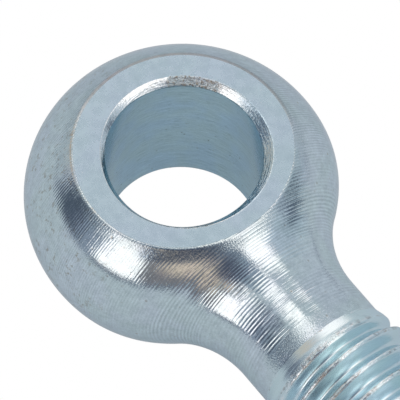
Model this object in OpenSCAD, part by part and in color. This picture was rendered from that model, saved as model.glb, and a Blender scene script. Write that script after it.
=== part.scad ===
// Swing eye bolt: a turned ball, pressed flat on two sides and drilled, on a threaded shank.
// The bore's centre is the origin, its axis is Z, and the shank runs along +X.

/* [Eye] */
// Outside diameter of the eye
eye_d = 24.5; // [22:0.5:28]
// Thickness of the eye over its two flat cheeks
eye_thickness = 14; // [12.5:0.1:15]
// Height that the pressed ball would have without its flat cheeks
pressed_height = 19.6; // [18:0.1:22]
// Radius of the eye's outline on the side of the neck, seen from above
shoulder_r = 10.4; // [9.5:0.1:10.9]
// Angle past the middle of the eye at which the shoulder begins, in degrees
shoulder_angle = 10; // [0:1:25]

/* [Bore] */
// Diameter of the bore for the pivot pin
bore_d = 12; // [10:0.1:13.2]
// Leg of the chamfer at both ends of the bore
bore_chamfer = 0.55; // [0.2:0.05:0.9]

/* [Neck] */
// Diameter of the neck, which is also that of the blank under the thread
neck_d = 10.8; // [10:0.1:11.4]
// Radius of the hollow between the shoulder and the neck, seen from above
neck_fillet_r = 7.6; // [5:0.1:10]
// Length of the straight neck between the hollow and the thread's run-out
neck_l = 2.8; // [1:0.1:30]

/* [Thread] */
// Outside diameter of the thread
thread_d = 12; // [12:0.5:14]
// Length over which the thread runs out towards the neck
runout_l = 2.1; // [0.5:0.1:4]
// Distance from the eye's centre to the end of the bolt
bolt_l = 50; // [40:5:150]
// Leg of the chamfer at the end of the bolt
end_chamfer = 1.2; // [0.5:0.1:1.8]

/* [Hidden] */
$fn = 96;

// Sides of each section of the pressed eye, and the steps between sections on each of its three arcs
section_sides = 64;
back_steps = 16;
shoulder_steps = 9;
hollow_steps = 10;
// Length by which a cutting shape passes the faces that it cuts, and the run-out's cone reaches into the neck
overlap = 1;
// Length before the neck's hollow over which the flattening already begins to fade
fade_lead = 1;

eye_r = eye_d / 2;
neck_r = neck_d / 2;
thread_r = thread_d / 2;
bore_r = bore_d / 2;

// Seen from above, three arcs follow each other along X: the eye's back, its shoulder and the hollow of the neck
back_end = eye_r * sin(shoulder_angle);
shoulder_x = (eye_r - shoulder_r) * sin(shoulder_angle);
shoulder_y = (eye_r - shoulder_r) * cos(shoulder_angle);
hollow_y = neck_r + neck_fillet_r;
neck_start = shoulder_x + sqrt((shoulder_r + neck_fillet_r)^2 - (hollow_y - shoulder_y)^2);
shoulder_end = shoulder_x + (neck_start - shoulder_x) * shoulder_r / (shoulder_r + neck_fillet_r);

runout_start = neck_start + neck_l;
thread_start = runout_start + runout_l;

// Half width of the eye and neck at x
function half_width(x) =
    x < back_end ? sqrt(max(0, eye_r^2 - x^2))
    : x < shoulder_end ? shoulder_y + sqrt(shoulder_r^2 - (x - shoulder_x)^2)
    : x < neck_start ? hollow_y - sqrt(neck_fillet_r^2 - (x - neck_start)^2)
    : neck_r;

// Height over width of a section: the press flattens the ball, and the effect fades out along the neck's hollow
function ease(t) = t <= 0 ? 0 : t >= 1 ? 1 : t * t * (3 - 2 * t);
function flattening(x) =
    let (squash = pressed_height / eye_d, fade_start = shoulder_end - fade_lead)
    squash + (1 - squash) * ease((x - fade_start) / (neck_start - fade_start));

// Places of the sections: even angles round the back, then even steps to the neck's far end
back_angle = 90 + shoulder_angle;
section_xs = concat(
    [for (i = [1 : back_steps]) -eye_r * cos(back_angle * i / back_steps)],
    [for (i = [1 : shoulder_steps]) back_end + (shoulder_end - back_end) * i / shoulder_steps],
    [for (i = [1 : hollow_steps]) shoulder_end + (neck_start - shoulder_end) * i / hollow_steps],
    [runout_start + runout_l / 2]
);

// An elliptical section across the bolt at x
function section(x) = [
    for (i = [0 : section_sides - 1])
        let (a = 360 * i / section_sides)
        [x, half_width(x) * cos(a), half_width(x) * flattening(x) * sin(a)]
];

// The pressed ball and its neck, lofted through the sections from the tip of the eye's back
module pressed_ball() {
    n = section_sides;
    last = len(section_xs) - 1;
    tip = 0;
    end = 1 + (last + 1) * n;
    points = concat(
        [[-eye_r, 0, 0]],
        [for (x = section_xs) each section(x)],
        [[section_xs[last], 0, 0]]
    );
    faces = concat(
        [for (i = [0 : n - 1]) [tip, 1 + i, 1 + (i + 1) % n]],
        [for (k = [0 : last - 1], i = [0 : n - 1])
            let (a = 1 + k * n + i, b = 1 + k * n + (i + 1) % n)
            each [[a, a + n, b], [b, a + n, b + n]]],
        [for (i = [0 : n - 1]) [end, 1 + last * n + (i + 1) % n, 1 + last * n + i]]
    );
    polyhedron(points, faces, convexity = 4);
}

// The thread's run-out and the shank with its end chamfer, turned about the bolt's axis
module shank() {
    runout_slope = (thread_r - neck_r) / runout_l;
    rotate([0, 90, 0])
        rotate_extrude()
            polygon([
                [0, runout_start - overlap],
                [neck_r - runout_slope * overlap, runout_start - overlap],
                [thread_r, thread_start],
                [thread_r, bolt_l - end_chamfer],
                [thread_r - end_chamfer, bolt_l],
                [0, bolt_l]
            ]);
}

// The bore with a chamfer at each end
module pin_hole() {
    cylinder(r = bore_r, h = eye_thickness + 2 * overlap, center = true);
    for (side = [0, 1])
        mirror([0, 0, side])
            translate([0, 0, eye_thickness / 2 - bore_chamfer])
                cylinder(r1 = bore_r, r2 = bore_r + bore_chamfer + overlap, h = bore_chamfer + overlap);
}

module eye_bolt() {
    color("lightsteelblue") {
        difference() {
            union() {
                intersection() {
                    pressed_ball();
                    cube([2 * bolt_l, eye_d + 2 * overlap, eye_thickness], center = true);
                }
                shank();
            }
            pin_hole();
        }
    }
}

eye_bolt();
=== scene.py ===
"""Looks of the swing eye bolt: a skin built with numpy over its CAD solid, its zinc-plated finishes,
the studio and the camera."""
from math import cos, pi, radians, sin, sqrt

import bpy
import numpy as np
from mathutils import Matrix, Vector


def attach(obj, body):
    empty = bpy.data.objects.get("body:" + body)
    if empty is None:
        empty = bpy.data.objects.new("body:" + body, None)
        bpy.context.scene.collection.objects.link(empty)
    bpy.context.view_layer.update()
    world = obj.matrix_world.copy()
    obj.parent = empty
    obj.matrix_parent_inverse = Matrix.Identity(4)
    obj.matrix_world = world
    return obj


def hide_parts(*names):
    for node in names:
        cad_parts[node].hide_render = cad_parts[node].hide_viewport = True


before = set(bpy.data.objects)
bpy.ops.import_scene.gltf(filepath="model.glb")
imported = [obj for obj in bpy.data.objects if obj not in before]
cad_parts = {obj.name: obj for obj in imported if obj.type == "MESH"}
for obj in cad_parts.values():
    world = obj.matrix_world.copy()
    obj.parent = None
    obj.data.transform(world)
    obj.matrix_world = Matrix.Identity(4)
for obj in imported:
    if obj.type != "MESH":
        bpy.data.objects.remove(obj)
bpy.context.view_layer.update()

# A millimetre in metres
MM = 0.001

# Sizes of the bolt in millimetres, in the CAD model's frame
EYE_R = 12.25
CHEEK_Z = 7.0
PRESSED_HALF_HEIGHT = 9.8
SHOULDER_R = 10.4
SHOULDER_TURN = radians(10)
BORE_R = 6.0
BORE_CHAMFER = 0.55
NECK_R = 5.4
HOLLOW_R = 7.6
FADE_LEAD = 1.0
NECK_L = 3.0
THREAD_R = 6.0
BOLT_L = 50.0
END_CHAMFER = 1.2

# Small forms that only the skin has: rounded edges, the bore's uneven mouth and the thread
CHEEK_EDGE = 0.11
SMALL_EDGE = 0.07
MOUTH_SKEW = 0.20
MOUTH_STEEPER = 0.42
MOUTH_TURN = radians(50)
STEEP_TURN = radians(-65)
PITCH = 1.75
ROOT_R = 4.98
CREST_FLAT = 0.20
ROOT_FLAT = 0.34
CREST_ROUND = 0.06
ROOT_ROUND = 0.22
CREST_AT = 20.36
CREST_ANGLE = radians(94)

# Lengths of the run-out: its cone, then where the groove starts, how it grows, and where the seam starts
RUNOUT_L = 2.1
GROOVE_START = 0.7
GROOVE_GROWTH = 1.3
SEAM_START = 0.6

# The seam torn along the crests: it is widest and deepest on the first turn, and later keeps a share
# of its depth
SEAM_DEPTH = 0.10
SEAM_WIDTH = 0.06
FIRST_SEAM_L = 1.6
FIRST_SEAM_WIDER = 0.12
LATER_SEAM_SHARE = 0.35

# How finely the skin is divided, and the share of a section's angle that its plain side takes
TIP_ROWS, EDGE_ROWS, CHEEK_ROWS, NECK_ROWS = 34, 6, 110, 64
SIDE_COLUMNS, RIM_COLUMNS, SIDE_SHARE = 46, 8, 0.94
FLAT_ROWS, WALL_ROWS, ROUND_POINTS = 7, 8, 4
THREAD_COLUMNS, ROWS_PER_PITCH = 108, 18
END_RINGS = np.array([0.6, 0.3])

# Smallest sizes that count, digits to which points are merged, and how often a stretch is halved to find
# a place in it
TINY_HEIGHT = 0.001
TINY_ANGLE = 1e-9
MERGED_DIGITS = 4
HALVINGS = 50

# Places of the three arcs of the outline along the bolt, seen from above
BACK_END = EYE_R * sin(SHOULDER_TURN)
SHOULDER_X = (EYE_R - SHOULDER_R) * sin(SHOULDER_TURN)
SHOULDER_Y = (EYE_R - SHOULDER_R) * cos(SHOULDER_TURN)
HOLLOW_Y = NECK_R + HOLLOW_R
NECK_START = SHOULDER_X + sqrt((SHOULDER_R + HOLLOW_R) ** 2 - (HOLLOW_Y - SHOULDER_Y) ** 2)
SHOULDER_END = SHOULDER_X + (NECK_START - SHOULDER_X) * SHOULDER_R / (SHOULDER_R + HOLLOW_R)
COLLAR_START = NECK_START + NECK_L
SQUASH = PRESSED_HALF_HEIGHT / EYE_R

# Numbers of the finishes on the skin
TURNED, PRESSED, CHAMFERED, BORED, ROLLED, CUT = range(6)


def ease(t):
    """Smooth step: three t squared less two t cubed, with t kept between 0 and 1."""
    t = np.clip(t, 0, 1)
    return t * t * (3 - 2 * t)


def half_width(x):
    """Half width at x: a circle round the back, a tighter circle over the shoulder, then the hollow's
    circle into the neck."""
    back = np.sqrt(np.maximum(EYE_R ** 2 - x ** 2, 0))
    shoulder = SHOULDER_Y + np.sqrt(np.maximum(SHOULDER_R ** 2 - (x - SHOULDER_X) ** 2, 0))
    hollow = HOLLOW_Y - np.sqrt(np.maximum(HOLLOW_R ** 2 - (x - NECK_START) ** 2, 0))
    return np.select([x < BACK_END, x < SHOULDER_END, x < NECK_START], [back, shoulder, hollow], NECK_R)


def half_height(x):
    """Half height at x without the cheeks: the half width times the press's flattening, which fades out
    along the hollow."""
    start = SHOULDER_END - FADE_LEAD
    return half_width(x) * (SQUASH + (1 - SQUASH) * ease((x - start) / (NECK_START - start)))


def under_cheek(z):
    """A height eased under the cheek's plane: itself below, the plane above, and a parabola between them
    over the rounded rim."""
    height = np.abs(z)
    over_rim = CHEEK_Z - (CHEEK_Z + CHEEK_EDGE - height) ** 2 / (4 * CHEEK_EDGE)
    below = height < CHEEK_Z - CHEEK_EDGE
    above = height > CHEEK_Z + CHEEK_EDGE
    return np.sign(z) * np.select([below, above], [height, CHEEK_Z], over_rim)


def crossing(low, high):
    """The x between low and high at which the half height reaches the rim's top, by halving the stretch."""
    rim_top = CHEEK_Z + CHEEK_EDGE
    rising = half_height(np.array(low)) < rim_top
    for _ in range(HALVINGS):
        middle = (low + high) / 2
        if (half_height(np.array(middle)) < rim_top) == rising:
            low = middle
        else:
            high = middle
    return (low + high) / 2


def rounded(corners, cut):
    """Lines of points through corners, side by side, with each inner corner cut off by a parabola: the
    corner, plus the cut times (1 - t) squared along the way back and t squared along the way ahead."""
    before, corner, after = corners[:-2, None], corners[1:-1, None], corners[2:, None]
    t = np.linspace(0, 1, ROUND_POINTS)[None, :, None, None]
    back = (before - corner) / np.linalg.norm(before - corner, axis=-1, keepdims=True)
    ahead = (after - corner) / np.linalg.norm(after - corner, axis=-1, keepdims=True)
    arcs = corner + cut * ((1 - t) ** 2 * back + t ** 2 * ahead)
    return np.concatenate([corners[:1], arcs.reshape(-1, *corners.shape[1:]), corners[-1:]])


class Skin:
    """Collects points, in millimetres, into one closed mesh whose faces keep the number of their finish."""

    def __init__(self):
        self.points = []
        self.faces = []
        self.finishes = []
        self.count = 0

    def add(self, points, faces, finish):
        """Adds points and the four-cornered faces between them, counted from the first of the points."""
        self.points.append(points)
        self.faces.append(faces + self.count)
        self.finishes.append(np.full(len(faces), finish))
        self.count += len(points)

    def grid(self, points, finish, turned_over=False):
        """Adds points of shape rows by columns by 3, with a face between each four neighbours."""
        rows, columns = points.shape[:2]
        at = np.arange(rows * columns).reshape(rows, columns)
        faces = np.stack([at[:-1, :-1], at[1:, :-1], at[1:, 1:], at[:-1, 1:]], -1).reshape(-1, 4)
        self.add(points.reshape(-1, 3), faces[:, ::-1] if turned_over else faces, finish)

    def lace(self, first, second, finish):
        """Joins two rings about the X axis by triangles: each edge of a ring takes the nearest point
        of the other ring."""
        rings = [ring[np.argsort(np.arctan2(ring[:, 2], ring[:, 1]))] for ring in (first, second)]
        angles = [np.arctan2(ring[:, 2], ring[:, 1]) for ring in rings]
        middles = [(a + np.append(a[1:], a[0] + 2 * pi)) / 2 for a in angles]
        sizes = [len(ring) for ring in rings]
        one = np.arange(sizes[0])
        two = np.arange(sizes[1])
        facing_two = np.searchsorted(middles[1], middles[0]) % sizes[1] + sizes[0]
        facing_one = np.searchsorted(middles[0], middles[1]) % sizes[0]
        next_one = (one + 1) % sizes[0]
        next_two = (two + 1) % sizes[1] + sizes[0]
        faces = np.concatenate([
            np.stack([one, next_one, facing_two, facing_two], -1),
            np.stack([next_two, two + sizes[0], facing_one, facing_one], -1),
        ])
        self.add(np.concatenate(rings), faces, finish)

    def mesh(self, name):
        """The mesh in metres: points that meet are merged, and a face that the merging folds up loses
        that corner or is dropped."""
        points = np.concatenate(self.points)
        faces = np.concatenate(self.faces)
        finishes = np.concatenate(self.finishes)
        merged_points, merged = np.unique(np.round(points, MERGED_DIGITS), axis=0, return_inverse=True)
        faces = merged.reshape(-1)[faces]
        kept_corners = faces != np.roll(faces, 1, axis=1)
        kept = kept_corners.sum(1) >= 3
        faces, kept_corners = faces[kept], kept_corners[kept]
        sizes = kept_corners.sum(1)
        mesh = bpy.data.meshes.new(name)
        mesh.vertices.add(len(merged_points))
        mesh.vertices.foreach_set("co", (merged_points * MM).ravel())
        mesh.loops.add(int(sizes.sum()))
        mesh.loops.foreach_set("vertex_index", faces[kept_corners])
        mesh.polygons.add(len(sizes))
        mesh.polygons.foreach_set("loop_start", np.append(0, np.cumsum(sizes)[:-1]))
        mesh.polygons.foreach_set("material_index", finishes[kept])
        mesh.polygons.foreach_set("use_smooth", np.ones(len(sizes), bool))
        mesh.update(calc_edges=True)
        mesh.validate()
        return mesh


def add_eye(skin):
    """The eye and neck: ellipses across X, w cos a by h sin a, whose tops are eased under the cheeks, then
    the cheeks and the bore. Gives the ring of points at the neck's end."""
    rim_back = crossing(-EYE_R, 0)
    rim_front = crossing(0, NECK_START)
    outside = 3 * CHEEK_EDGE
    tip_end = np.arccos(-(rim_back - outside) / EYE_R)
    cheek_turn = np.linspace(0, pi, CHEEK_ROWS)
    x = np.concatenate([
        -EYE_R * np.cos(np.linspace(0, tip_end, TIP_ROWS)),
        np.linspace(rim_back - outside, rim_back, EDGE_ROWS)[1:-1],
        (rim_back + rim_front) / 2 - (rim_front - rim_back) / 2 * np.cos(cheek_turn),
        np.linspace(rim_front, rim_front + outside, EDGE_ROWS)[1:-1],
        np.linspace(rim_front + outside, COLLAR_START - SMALL_EDGE, NECK_ROWS),
    ])
    on_cheek = np.arange(CHEEK_ROWS) + TIP_ROWS + EDGE_ROWS - 2
    width = half_width(x)
    height = half_height(x)
    last_angle = np.arcsin(np.minimum(1, (CHEEK_Z + CHEEK_EDGE) / np.maximum(height, TINY_HEIGHT)))
    last_angle[on_cheek[[0, -1]]] = pi / 2
    half = np.concatenate([
        np.linspace(0, SIDE_SHARE, SIDE_COLUMNS),
        np.linspace(SIDE_SHARE, 1, RIM_COLUMNS)[1:],
    ])
    share = np.concatenate([-half[:0:-1], half])
    angle = share * last_angle[:, None]
    y = width[:, None] * np.cos(angle)
    y[np.abs(angle) > pi / 2 - TINY_ANGLE] = 0
    z = under_cheek(height[:, None] * np.sin(angle))
    along = np.broadcast_to(x[:, None], y.shape)
    skin.grid(np.stack([along, y, z], -1), TURNED, turned_over=True)
    skin.grid(np.stack([along, -y, z], -1), TURNED)
    rim = np.concatenate([
        np.stack([x[on_cheek], y[on_cheek, -1]], -1),
        np.stack([x[on_cheek], -y[on_cheek, -1]], -1)[::-1][1:],
    ])
    add_cheeks_and_bore(skin, rim)
    return np.concatenate([
        np.stack([along[-1], y[-1], z[-1]], -1),
        np.stack([along[-1], -y[-1], z[-1]], -1)[1:-1],
    ])


def add_cheeks_and_bore(skin, rim):
    """Cheeks: straight lines from the rim to the bore at each of the rim's polar angles. Bore: a profile
    at each angle. Its chamfer is wider on one side and narrower on the other, by the cosine to the fourth
    power with the cosine's sign, and deeper on a third side, by (1 + cosine) / 2 to the fourth power."""
    turn = np.arctan2(rim[:, 1], rim[:, 0])
    ray = np.stack([np.cos(turn), np.sin(turn)], -1)
    aside = np.cos(turn - MOUTH_TURN)
    leg = BORE_CHAMFER + MOUTH_SKEW * aside * np.abs(aside) ** 3
    depth = leg + MOUTH_STEEPER * ((1 + np.cos(turn - STEEP_TURN)) / 2) ** 4
    straight = np.full_like(turn, BORE_R)
    top = np.full_like(turn, CHEEK_Z)
    profile = rounded(np.array([
        np.stack([BORE_R + leg + 3 * SMALL_EDGE, top], -1),
        np.stack([BORE_R + leg, top], -1),
        np.stack([straight, CHEEK_Z - depth], -1),
        np.stack([straight, np.zeros_like(turn)], -1),
    ]), SMALL_EDGE)
    wall = np.linspace(profile[-2], profile[-1], WALL_ROWS)[1:]
    rows = np.concatenate([profile[:-1], wall])
    across = rows[..., 0:1] * ray
    wall_start = 2 * ROUND_POINTS
    t = np.linspace(0, 1, FLAT_ROWS)[:, None, None]
    flat = rim * (1 - t) + ray * profile[0, :, 0:1] * t
    for side in (1, -1):
        level = np.full(flat.shape[:2] + (1,), side * CHEEK_Z)
        surface = np.concatenate([across, side * rows[..., 1:2]], -1)
        skin.grid(np.concatenate([flat, level], -1), PRESSED, turned_over=side < 0)
        skin.grid(surface[:2], PRESSED, turned_over=side < 0)
        skin.grid(surface[1:wall_start + 1], CHAMFERED, turned_over=side < 0)
        skin.grid(surface[wall_start:], BORED, turned_over=side < 0)


def pitches_past_crest(x, turn):
    """How many pitches a place lies past a crest of the helix: x by the pitch, less the turns round X."""
    return (x - CREST_AT) / PITCH - (turn - CREST_ANGLE) / (2 * pi)


def groove(distance):
    """Depth of the thread, 0 on the crest to 1 in the root, at a distance along X from the crest: a straight
    flank with a parabola at both its ends."""
    flank_start = CREST_FLAT / 2
    flank_end = (PITCH - ROOT_FLAT) / 2
    slope = 1 / (flank_end - flank_start)
    over_crest = slope * (distance - flank_start + CREST_ROUND) ** 2 / (4 * CREST_ROUND)
    over_root = 1 - slope * (flank_end + ROOT_ROUND - distance) ** 2 / (4 * ROOT_ROUND)
    flank = slope * (distance - flank_start)
    where = [
        distance < flank_start - CREST_ROUND,
        distance < flank_start + CREST_ROUND,
        distance < flank_end - ROOT_ROUND,
        distance < flank_end + ROOT_ROUND,
    ]
    return np.select(where, [np.zeros_like(distance), over_crest, flank, over_root], 1.0)


def thread_radius(x, turn):
    """Radius of the thread: the run-out's cone and the end's chamfer bound it, the groove deepens along the
    run-out, and a seam, a bell curve across the crest, is torn into it."""
    past_collar = x - COLLAR_START
    off_crest = np.abs((pitches_past_crest(x, turn) + 0.5) % 1 - 0.5) * PITCH
    outside = NECK_R + (THREAD_R - NECK_R) * np.clip(past_collar / RUNOUT_L, 0, 1)
    depth = (THREAD_R - ROOT_R) * ease((past_collar - GROOVE_START) / GROOVE_GROWTH)
    first = 1 - ease((past_collar - FIRST_SEAM_L) / FIRST_SEAM_L)
    seam_width = SEAM_WIDTH + FIRST_SEAM_WIDER * first
    seam_depth = SEAM_DEPTH * (LATER_SEAM_SHARE + (1 - LATER_SEAM_SHARE) * first)
    grown = ease((past_collar - SEAM_START) / SEAM_START)
    seam = seam_depth * grown * np.exp(-(off_crest / seam_width) ** 2)
    radius = outside - depth * groove(off_crest) - seam
    return np.minimum(radius, THREAD_R - END_CHAMFER + np.maximum(BOLT_L - x, 0))


def add_thread(skin, neck_ring):
    """The thread: rows climb with the helix, x grows by the pitch each turn, and both ends are cut off
    square to X. The start is laced to the neck's ring, and rings of shrinking radius close the end."""
    turn = np.linspace(-pi, pi, THREAD_COLUMNS + 1)
    pitches = (BOLT_L - COLLAR_START) / PITCH + 2
    rows = np.arange(int(pitches * ROWS_PER_PITCH))
    steps = rows[:, None] / ROWS_PER_PITCH + turn / (2 * pi) - 1
    x = np.clip(COLLAR_START + PITCH * steps, COLLAR_START, BOLT_L)
    radius = thread_radius(x, turn)
    spokes = np.stack([np.cos(turn), np.sin(turn)], -1)
    spokes[-1] = spokes[0]
    skin.grid(np.concatenate([x[..., None], radius[..., None] * spokes], -1), ROLLED, turned_over=True)
    start_ring = np.concatenate([
        np.full((THREAD_COLUMNS, 1), COLLAR_START),
        NECK_R * spokes[:-1],
    ], -1)
    skin.lace(neck_ring, start_ring, TURNED)
    end_r = THREAD_R - END_CHAMFER
    face_r = np.array([end_r, end_r - SMALL_EDGE, *(end_r * END_RINGS), 0])
    disc = np.empty((len(face_r), THREAD_COLUMNS + 1, 3))
    disc[..., 0] = BOLT_L
    disc[..., 1:] = face_r[:, None, None] * spokes
    skin.grid(disc, CUT, turned_over=True)


class Signal:
    """A socket in an expression: an operator on it adds the Math node that works the result out."""

    def __init__(self, nodes, socket):
        self.nodes = nodes
        self.socket = socket

    def math(self, operation, *others):
        """A Math node's result from this socket and the others."""
        sockets = dict(enumerate((self,) + others))
        return self.nodes.node("ShaderNodeMath", {"operation": operation}, sockets)

    def __add__(self, other):
        return self.math("ADD", other)

    def __sub__(self, other):
        return self.math("SUBTRACT", other)

    def __rsub__(self, other):
        return self.nodes.node("ShaderNodeMath", {"operation": "SUBTRACT"}, {0: other, 1: self})

    def __mul__(self, other):
        return self.math("MULTIPLY", other)

    def __truediv__(self, other):
        return self.math("DIVIDE", other)

    def __pow__(self, other):
        return self.math("POWER", other)

    __radd__ = __add__
    __rmul__ = __mul__

    def wave(self, length):
        """A sine wave from -1 to 1 of this length."""
        return (self * (2 * pi / length)).math("SINE")

    def step(self, low, high):
        """0 below low and 1 above high, eased between; with low above high it falls instead."""
        return self.nodes.node("ShaderNodeMapRange", {"interpolation_type": "SMOOTHSTEP"},
                               {"Value": self, "From Min": low, "From Max": high})

    def within(self, low, high, soft):
        """1 between low and high, and 0 outside, eased over the softness at both ends."""
        return self.step(low - soft, low + soft) * self.step(high + soft, high - soft)


class Nodes:
    """A node tree that expressions fill."""

    # Places of the sockets for colours on a Mix node
    MIX_FACTOR, MIX_FIRST, MIX_SECOND, MIX_RESULT = 0, 6, 7, 2

    def __init__(self, tree):
        tree.nodes.clear()
        self.tree = tree

    def node(self, kind, settings=None, sockets=None, out=0):
        """Adds one node, with its settings first and then its sockets' values or links. Gives an output."""
        made = self.tree.nodes.new(kind)
        for name, value in (settings or {}).items():
            setattr(made, name, value)
        for name, value in (sockets or {}).items():
            if isinstance(value, Signal):
                self.tree.links.new(value.socket, made.inputs[name])
            else:
                made.inputs[name].default_value = value
        return Signal(self, made.outputs[out]) if len(made.outputs) else None

    def mix(self, factor, first, second, blend="MIX"):
        """The first colour where the factor is 0, and the second, or both blended, where it is 1."""
        settings = {"data_type": "RGBA", "blend_type": blend}
        sockets = {self.MIX_FACTOR: factor, self.MIX_FIRST: first, self.MIX_SECOND: second}
        return self.node("ShaderNodeMix", settings, sockets, self.MIX_RESULT)

    def join(self, numbers):
        """A vector of three numbers."""
        return self.node("ShaderNodeCombineXYZ", None, dict(enumerate(numbers)))

    def split(self, vector):
        """The three numbers of a vector."""
        made = self.node("ShaderNodeSeparateXYZ", None, {0: vector}).socket.node
        return [Signal(self, socket) for socket in made.outputs]

    def noise(self, place, size, detail=2.0, roughness=0.5):
        """Noise about 0, from about -0.5 to 0.5, over a place in millimetres, in patches of about this
        size. The place is one number or three."""
        if isinstance(place, Signal):
            kind, sockets = "1D", {"W": place / size}
        else:
            kind, sockets = "3D", {"Vector": self.join([number / size for number in place])}
        sockets.update({"Scale": 1.0, "Detail": detail, "Roughness": roughness})
        return self.node("ShaderNodeTexNoise", {"noise_dimensions": kind}, sockets) - 0.5

    def spots(self, place, size, radius, soft):
        """1 in round spots of this radius, one in each cell of this size, and 0 between, in millimetres."""
        sockets = {"Vector": self.join([number / size for number in place]), "Scale": 1.0}
        distance = self.node("ShaderNodeTexVoronoi", None, sockets) * size
        return distance.step(radius + soft, radius - soft)


# The camera, from the photograph's outline of the eye, bore and neck
PICTURE = 400
SENSOR = 36.0
AZIMUTH = radians(50.3)
ELEVATION = radians(61.7)
ROLL = radians(2.4)
DISTANCE = 343.0
PIXELS_PER_MM = 12.98
EYE_CENTRE_AT = (182.8, 195.3)

# Colours of the plating, from greenish to violet or blue, of what is on it, and of a painted shadow
ZINC_GREEN = (0.585, 0.715, 0.755, 1)
ZINC_VIOLET = (0.605, 0.715, 0.79, 1)
TONE_DARK = (0.80, 0.81, 0.82, 1)
TONE_PALE = (1.20, 1.19, 1.18, 1)
CHEEK_GREEN = (0.575, 0.73, 0.805, 1)
CHEEK_VIOLET = (0.59, 0.73, 0.83, 1)
BORE_GREEN = (0.56, 0.745, 0.81, 1)
BORE_BLUE = (0.54, 0.735, 0.86, 1)
THREAD_GREEN = (0.655, 0.825, 0.865, 1)
THREAD_BLUE = (0.665, 0.825, 0.895, 1)
STAIN = (0.36, 0.36, 0.32, 1)
BURR = (0.44, 0.39, 0.345, 1)
SOOT = (0.26, 0.25, 0.25, 1)
# The colour of the painted shadow band under the rims by the neck
SHADOW = (0.17, 0.26, 0.37, 1)
BRIGHT = (0.76, 0.86, 0.90, 1)
EDGE_TINT = (0.86, 0.90, 0.93, 1)

# Sizes on the finishes, in millimetres: lengths of the turning ribs, and between which places to the right
# the bore's chamfering strokes meet
BALL_RIB = 0.20
NECK_RIB = 0.28
STROKES_MEET = (-1.5, 2.4)


def to_right(x, y):
    """How far a place lies along the level direction that points to the right in the photograph."""
    return x * cos(AZIMUTH) + y * sin(AZIMUTH)


def to_front(x, y):
    """How far a place lies along the level direction that points to the front in the photograph."""
    return x * sin(AZIMUTH) - y * cos(AZIMUTH)


class Finish(Nodes):
    """One zinc-plated finish: a metal whose colour, roughness and relief, in millimetres, are set last."""

    def __init__(self, name):
        self.material = bpy.data.materials.new(name)
        self.material.use_nodes = True
        super().__init__(self.material.node_tree)
        on_piece = self.node("ShaderNodeTexCoord", out="Object")
        self.here = [number / MM for number in self.split(on_piece)]

    def round_x(self, stretch):
        """Places over which noise is drawn out round the X axis by this stretch."""
        x, y, z = self.here
        return x, y / stretch, z / stretch

    def round_z(self, stretch):
        """Places over which noise is drawn out round the Z axis by this stretch."""
        x, y, z = self.here
        return x / stretch, y / stretch, z

    def plate(self, tone, green=ZINC_GREEN, violet=ZINC_VIOLET):
        """The plating's colour: zinc that drifts slowly from a greener to a more violet tint,
        darker or paler by its tone, which is about 0."""
        tint = self.mix(self.noise(self.here, 3.0).step(-0.12, 0.15), green, violet)
        return self.mix(1.0, tint, self.mix(tone + 0.5, TONE_DARK, TONE_PALE), "MULTIPLY")

    def done(self, colour, roughness, relief):
        """Links the metal's shader and gives the material."""
        bump = self.node("ShaderNodeBump", None, {"Distance": MM, "Height": relief})
        metal = self.node("ShaderNodeBsdfPrincipled", None, {
            "Base Color": colour, "Metallic": 1.0, "Roughness": roughness,
            "Specular Tint": EDGE_TINT, "Normal": bump,
        })
        self.node("ShaderNodeOutputMaterial", None, {"Surface": metal})
        return self.material


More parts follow.
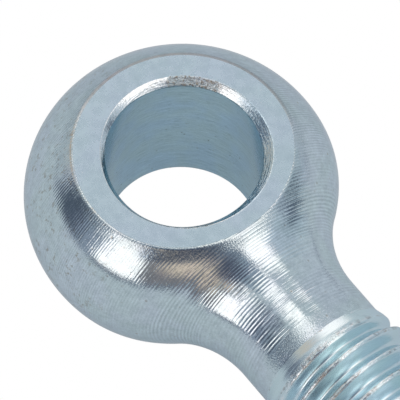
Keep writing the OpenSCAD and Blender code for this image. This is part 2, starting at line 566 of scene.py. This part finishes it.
def turned_zinc():
    """The ball and neck: turning ribs across the axis, uneven in depth, that give way to grain at the
    neck's end. There are pits and stains, soot on the far part of the rims, painted shade on the far side
    and under the rims, and a speckled painted shadow band under the rims by the neck."""
    finish = Finish("turned_zinc")
    x, y, z = finish.here

    # Zones of the bolt
    aside = to_right(x, y)
    far_side_shade_and_soot = to_front(x, y).step(-1, -6)
    height = z.math("ABSOLUTE")
    under_rim_grain_and_shade = height.step(6.2, 6.6)
    rim = height.step(6.82, 6.96)
    right = aside.step(3, 6) * height.step(3, 5.5)
    shoulder = x.within(4.5, 7.5, 0.5)
    hollow = x.step(7.2, 8.4)
    neck = x.step(9.8, 11.2)
    neck_start = x.within(9.6, 11.3, 0.3)
    neck_middle = x.step(12.6, 13.2)
    ribbed = x.step(16.3, 15.9)

    # Relief
    wander = x + finish.noise(finish.round_x(6), 0.9) * 0.10
    unevenness = 0.35 + 1.1 * finish.noise(finish.round_x(4), 1.0).step(-0.2, 0.2)
    ball_depth = 0.0022 - 0.0008 * shoulder + 0.0018 * hollow + 0.0022 * right
    neck_depth = 0.0030 + 0.0026 * neck_start + 0.0034 * neck_middle
    on_ball = wander.wave(BALL_RIB) * ball_depth * (1 - neck)
    on_neck = wander.wave(NECK_RIB) * neck_depth * neck
    ribs = unevenness * (on_ball + on_neck)
    broken = finish.noise(finish.round_x(10), 0.14, 2.0)
    grain = finish.noise(finish.here, 0.11, 2.0)
    mottle = finish.noise(finish.here, 0.7, 3.0, 0.7)
    pits = finish.spots(finish.here, 1.0, 0.11, 0.06) * mottle.step(0.0, 0.10)
    grain_depth = 0.004 + 0.020 * (1 - ribbed) + 0.010 * under_rim_grain_and_shade + 0.002 * x.within(6, 11, 1)
    relief = (ribs + broken * (0.010 + 0.006 * neck)) * ribbed + grain * grain_depth - pits * 0.008

    # Colour
    streaks = ribs * (60 - 35 * neck) + broken * 0.5
    # Painted shade: the tone is darkened on the far side of the bolt and in the band under the rims
    tone = streaks * ribbed + grain + mottle * 1.3 - far_side_shade_and_soot * 0.2 - under_rim_grain_and_shade * 0.2
    dirty = finish.noise(finish.here, 2.4).step(-0.10, 0.06) * (0.12 + 0.88 * aside.step(-4, -8))
    marks = finish.noise(finish.round_x(1.6), 0.30, 4.0, 0.65).step(0.04, 0.14) * dirty
    # Painted shadow: a speckled band in the SHADOW colour under the rims by the neck
    painted_shadow_band = height.step(6.0, 6.5) * x.step(4.2, 5.2) * aside.step(4, 1) * (1 - rim)
    colour = finish.mix((pits * 0.7).math("MAXIMUM", marks * 0.75), finish.plate(tone), STAIN)
    colour = finish.mix(rim * mottle.step(-0.02, 0.14) * 0.15, colour, BURR)
    colour = finish.mix(rim * far_side_shade_and_soot * 0.45, colour, SOOT)
    colour = finish.mix(painted_shadow_band * (0.3 + 0.6 * grain.step(-0.12, 0.12)), colour, SHADOW)
    return finish.done(colour, 0.10 + grain * 0.08 + rim * far_side_shade_and_soot * 0.45, relief)


def pressed_zinc():
    """The cheeks: a fine matte grain in soft patches, with small bright specks."""
    finish = Finish("pressed_zinc")
    grain = finish.noise(finish.here, 0.13, 3.0, 0.6)
    patches = finish.noise(finish.here, 0.8, 4.0, 0.6)
    specks = finish.spots(finish.here, 0.9, 0.06, 0.03) * finish.noise(finish.here, 1.6).step(0.06, 0.12)
    plate = finish.plate(grain * 0.35 + patches * 0.6, CHEEK_GREEN, CHEEK_VIOLET)
    colour = finish.mix(specks, plate, BRIGHT)
    return finish.done(colour, 0.27 + patches * 0.12, (grain + patches) * 0.004)


def chamfered_zinc():
    """The bore's chamfers: cut askew in two strokes, lined round the bore, torn where the strokes meet, and
    coarser, with the bore's tint, on the right."""
    finish = Finish("chamfered_zinc")
    x, y, z = finish.here
    aside = to_right(x, y)
    left = aside.math("MINIMUM", STROKES_MEET[0])
    torn = aside.within(*STROKES_MEET, 0.15)
    right = aside.step(3.2, 5)
    lines = finish.noise(finish.round_z(12), 0.10, 2.0)
    tears = finish.noise(finish.here, 0.20, 3.0, 0.6)
    polished = finish.mix(0.7 * (1 - torn), finish.plate(tears + lines), BRIGHT)
    bore_plate = finish.plate(tears + lines * 3, BORE_GREEN, BORE_BLUE)
    polished = finish.mix(0.8 * right, polished, bore_plate)
    colour = finish.mix(tears.step(-0.02, 0.12) * (0.2 + 0.7 * torn), polished, STAIN)
    askew = aside * 0.12 + left * 0.216 + left * left * 0.042
    relief = lines * (0.022 + 0.03 * right) + tears * (0.016 + 0.09 * torn + 0.03 * right) - askew
    return finish.done(colour, 0.12 + tears * 0.1, relief)


def bored_zinc():
    """The bore: drilling marks about its axis, thin and broken, and a few dark pits in its lower part."""
    finish = Finish("bored_zinc")
    x, y, z = finish.here
    rings = finish.noise(finish.round_z(9), 0.16, 2.0)
    scored = finish.noise(finish.here, 2.0).step(-0.06, 0.1)
    scores = finish.noise(finish.round_z(6), 0.10, 2.0).step(0.08, 0.16) * scored
    grain = finish.noise(finish.here, 0.12, 2.0)
    pitted = finish.noise(finish.here, 1.8).step(-0.02, 0.08) * z.step(2, -1)
    pits = finish.spots(finish.here, 0.6, 0.06, 0.04) * pitted
    tone = rings + grain * 0.7 - scores * 0.45
    colour = finish.mix(pits * 0.7, finish.plate(tone, BORE_GREEN, BORE_BLUE), STAIN)
    return finish.done(colour, 0.20 + grain * 0.1, rings * 0.010 + grain * 0.006 - pits * 0.03)


def rolled_zinc():
    """The thread: satin rolled flanks, torn seams, brown and bright by turns, on the crests and at the
    run-out's start, and a finely lined collar. The first seam is wider and less brown."""
    finish = Finish("rolled_zinc")
    x, y, z = finish.here
    turn = z.math("ARCTAN2", y)
    across = ((pitches_past_crest(x, turn) + 0.5).math("FRACT") - 0.5) * PITCH
    first = x.step(20.2, 19.2)
    collar = x.step(COLLAR_START + 2.0, COLLAR_START + 1.4)
    crest = (across.math("ABSOLUTE") - first * 0.10).step(0.19, 0.11) * x.step(18.2, 18.6)
    edge = x + finish.noise(finish.here, 0.8) * 0.3
    start = edge.within(17.46, 17.60, 0.05) * finish.noise(finish.here, 1.6).step(-0.06, 0.06)
    torn = crest.math("MAXIMUM", start)
    tears = finish.noise((across, turn * (THREAD_R / 5), x / 9), 0.14, 3.0, 0.6)
    brown = tears.step(-0.02, 0.12) * finish.noise(finish.here, 1.1).step(-0.10, 0.12)
    sooty = finish.noise(finish.here, 0.45, 2.0).step(0.02, 0.14)
    plate = finish.plate(tears * torn, THREAD_GREEN, THREAD_BLUE)
    colour = finish.mix(torn * brown * (0.8 - 0.55 * first), plate, BURR)
    colour = finish.mix(torn * tears.step(0.0, -0.10), colour, BRIGHT)
    colour = finish.mix(torn * sooty * 0.4, colour, SOOT)
    lines = finish.noise(finish.round_x(8), 0.12, 2.0)
    return finish.done(colour, 0.26 - torn * 0.05, torn * tears * 0.07 + collar * lines * 0.014)


def cut_zinc():
    """The end face: facing rings round the axis."""
    finish = Finish("cut_zinc")
    _, y, z = finish.here
    rings = finish.noise((y * y + z * z) ** 0.5, 0.2, 2.0)
    grain = finish.noise(finish.here, 0.1, 2.0)
    colour = finish.plate(rings * 0.6 + grain)
    return finish.done(colour, 0.2 + grain * 0.1, rings * 0.012 + grain * 0.006)


def add_camera():
    """A camera at the photograph's angle and scale, whose picture shows the eye's centre at its pixel."""
    back = Vector((sin(AZIMUTH) * cos(ELEVATION), -cos(AZIMUTH) * cos(ELEVATION), sin(ELEVATION)))
    level = Vector((cos(AZIMUTH), sin(AZIMUTH), 0))
    above = back.cross(level)
    right = level * cos(ROLL) + above * sin(ROLL)
    up = above * cos(ROLL) - level * sin(ROLL)
    aside = (PICTURE / 2 - EYE_CENTRE_AT[0]) / PIXELS_PER_MM
    lower = (PICTURE / 2 - EYE_CENTRE_AT[1]) / PIXELS_PER_MM
    place = (right * aside - up * lower + back * DISTANCE) * MM
    data = bpy.data.cameras.new("camera")
    data.sensor_width = SENSOR
    data.lens = PIXELS_PER_MM * DISTANCE * SENSOR / PICTURE
    data.clip_start = 0.01
    data.clip_end = 100
    camera = bpy.data.objects.new("camera", data)
    turn = Matrix((right, up, back)).transposed().to_4x4()
    camera.matrix_world = Matrix.Translation(place) @ turn
    bpy.context.scene.collection.objects.link(camera)
    bpy.context.scene.camera = camera


# The table top: half its size in metres, its colours, and the share of its mirrored light that is its own
FLOOR_SIZE = 3.0
WHITE = (1, 1, 1, 1)
TABLE = (0.585, 0.62, 0.645, 1)
PAPER = (0.74, 0.785, 0.82, 1)
PAPER_GLOW = 0.44


def add_floor():
    """A white table top under the lower cheek, shown without shadows, as the photograph has it, and
    mirrored as a lit grey paper."""
    size = FLOOR_SIZE
    level = -CHEEK_Z * MM
    corners = [(-size, -size, level), (size, -size, level), (size, size, level), (-size, size, level)]
    mesh = bpy.data.meshes.new("floor")
    mesh.from_pydata(corners, [], [(0, 1, 2, 3)])
    material = bpy.data.materials.new("floor_white")
    material.use_nodes = True
    nodes = Nodes(material.node_tree)
    seen = nodes.node("ShaderNodeLightPath", out="Is Camera Ray")
    paper = nodes.node("ShaderNodeBsdfDiffuse", None, {"Color": PAPER})
    glow = nodes.node("ShaderNodeEmission", None, {"Color": TABLE})
    mirrored = nodes.node("ShaderNodeMixShader", None, {0: PAPER_GLOW, 1: paper, 2: glow})
    white = nodes.node("ShaderNodeEmission", None, {"Color": WHITE})
    shown = nodes.node("ShaderNodeMixShader", None, {0: seen, 1: mirrored, 2: white})
    nodes.node("ShaderNodeOutputMaterial", None, {"Surface": shown})
    mesh.materials.append(material)
    floor = bpy.data.objects.new("floor", mesh)
    bpy.context.scene.collection.objects.link(floor)


# What stands round the table, each on top of those before it. First come its angles, counted from the
# camera to the right, and its heights above the horizon, in degrees. Then come the softness of its sides
# and of its ends, how far it leans to the right with each degree of height above LEAN_FROM, and its light.
LEAN_FROM = 30
ROOM = (0.585, 0.60, 0.63, 1)
LAMP = (1.65, 1.45, 1.38, 1)
LOW_LAMP = (1.75, 1.52, 1.45, 1)
BACK_LAMP = (1.5, 1.27, 1.2, 1)
SURROUNDINGS = [
    # A dim band along the horizon, darker on the camera's side
    ((-190, 190), (-1, 3), (4, 1.5), 0, (0.40, 0.41, 0.45, 1)),
    ((-60, 40), (0, 4.5), (4, 1.5), 0, (0.22, 0.23, 0.28, 1)),
    # Dark and grey walls to the left
    ((-101, -72), (1, 28), (3, 2), 0, (0.11, 0.125, 0.165, 1)),
    ((-90, -72), (26, 56), (3, 3), 0, (0.20, 0.215, 0.26, 1)),
    ((-72, -56), (2, 52), (3, 5), 0, (0.46, 0.48, 0.53, 1)),
    ((-72, -58), (1, 27), (2, 3), 0, (0.30, 0.33, 0.39, 1)),
    # The ceiling over the camera and the dark wall behind it, with tan fields on the wall
    ((-62, 44), (60, 100), (8, 4), 0, (0.34, 0.38, 0.44, 1)),
    ((-22, 46), (2, 64), (2.5, 3), 0, (0.25, 0.275, 0.335, 1)),
    ((-21, 29), (30, 66), (4, 3), 0, (0.11, 0.115, 0.155, 1)),
    ((16, 38), (20, 36), (4, 3), 0, (0.15, 0.165, 0.21, 1)),
    ((-19, 34), (4, 29), (3, 2), 0, (0.27, 0.235, 0.245, 1)),
    ((-4, 27), (15, 25), (8, 2.5), 0, (0.92, 0.68, 0.53, 1)),
    ((-19, -2), (36, 44), (3, 2), 0, (0.95, 0.70, 0.53, 1)),
    ((-6, 20), (33, 36.5), (4, 1.5), 0, (0.50, 0.38, 0.33, 1)),
    # Grey walls to the right, with a narrow dark shade
    ((72, 125), (4, 60), (6, 5), 0.3, (0.56, 0.60, 0.65, 1)),
    ((88, 108), (8, 36), (6, 7), 0, (0.40, 0.44, 0.49, 1)),
    ((87, 98), (-4, 22), (2, 3), 0, (0.13, 0.155, 0.20, 1)),
    # The lamp to the left of the camera, with a grey field beside it
    ((-38, -20), (36, 60), (4, 3), 0, (0.50, 0.49, 0.50, 1)),
    ((-54, -38), (34, 61), (1.5, 2.5), 0, LOW_LAMP),
    ((-53, -20), (5, 36), (1.2, 1.2), 0.12, LOW_LAMP),
    # The lamp to the right of the camera, and high lamps on both sides
    ((45, 70), (18, 88), (2.5, 3), 0, LAMP),
    ((50, 74), (25, 88), (3, 4), 0.4, LAMP),
    ((44, 150), (62, 82), (6, 4), 0, LAMP),
    ((-148, -80), (60, 82), (6, 4), 0, LAMP),
    # Beyond the bolt: a tan field to the left, and a lamp across the line where the angles start again
    ((-136, -106), (15, 40), (5, 4), 0, (0.72, 0.55, 0.45, 1)),
    ((-190, -142), (14, 50), (6, 4), 0, BACK_LAMP),
    ((174, 190), (14, 32), (5, 4), 0, BACK_LAMP),
]


def add_surroundings():
    """The studio round the table, as the bolt mirrors it: soft fields of light in a grey room. The camera
    itself sees white."""
    world = bpy.data.worlds.new("studio")
    world.use_nodes = True
    bpy.context.scene.world = world
    nodes = Nodes(world.node_tree)
    x, y, z = nodes.split(nodes.node("ShaderNodeTexCoord", out="Generated"))
    degrees = 180 / pi
    angle = to_right(x, y).math("ARCTAN2", to_front(x, y)) * degrees
    height = z.math("ARCSINE") * degrees
    light = nodes.mix(height.step(-1, 1), TABLE, ROOM)
    for sides, levels, soft, lean, colour in SURROUNDINGS:
        upright = angle - (height - LEAN_FROM) * lean
        shown = upright.within(*sides, soft[0]) * height.within(*levels, soft[1])
        light = nodes.mix(shown, light, colour)
    seen = nodes.node("ShaderNodeLightPath", out="Is Camera Ray")
    background = nodes.node("ShaderNodeBackground", None, {"Color": nodes.mix(seen, light, WHITE)})
    nodes.node("ShaderNodeOutputWorld", None, {"Surface": background})


def add_bolt():
    """The bolt as one piece, with a finish for each kind of surface, in the order of their numbers."""
    skin = Skin()
    neck_ring = add_eye(skin)
    add_thread(skin, neck_ring)
    mesh = skin.mesh("swing_eye_bolt")
    for make in (turned_zinc, pressed_zinc, chamfered_zinc, bored_zinc, rolled_zinc, cut_zinc):
        mesh.materials.append(make())
    bolt = bpy.data.objects.new("swing_eye_bolt", mesh)
    bpy.context.scene.collection.objects.link(bolt)
    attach(bolt, "root")
    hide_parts("eye_bolt")


add_camera()
add_floor()
add_surroundings()
add_bolt()
bpy.context.scene.view_settings.view_transform = "Standard"
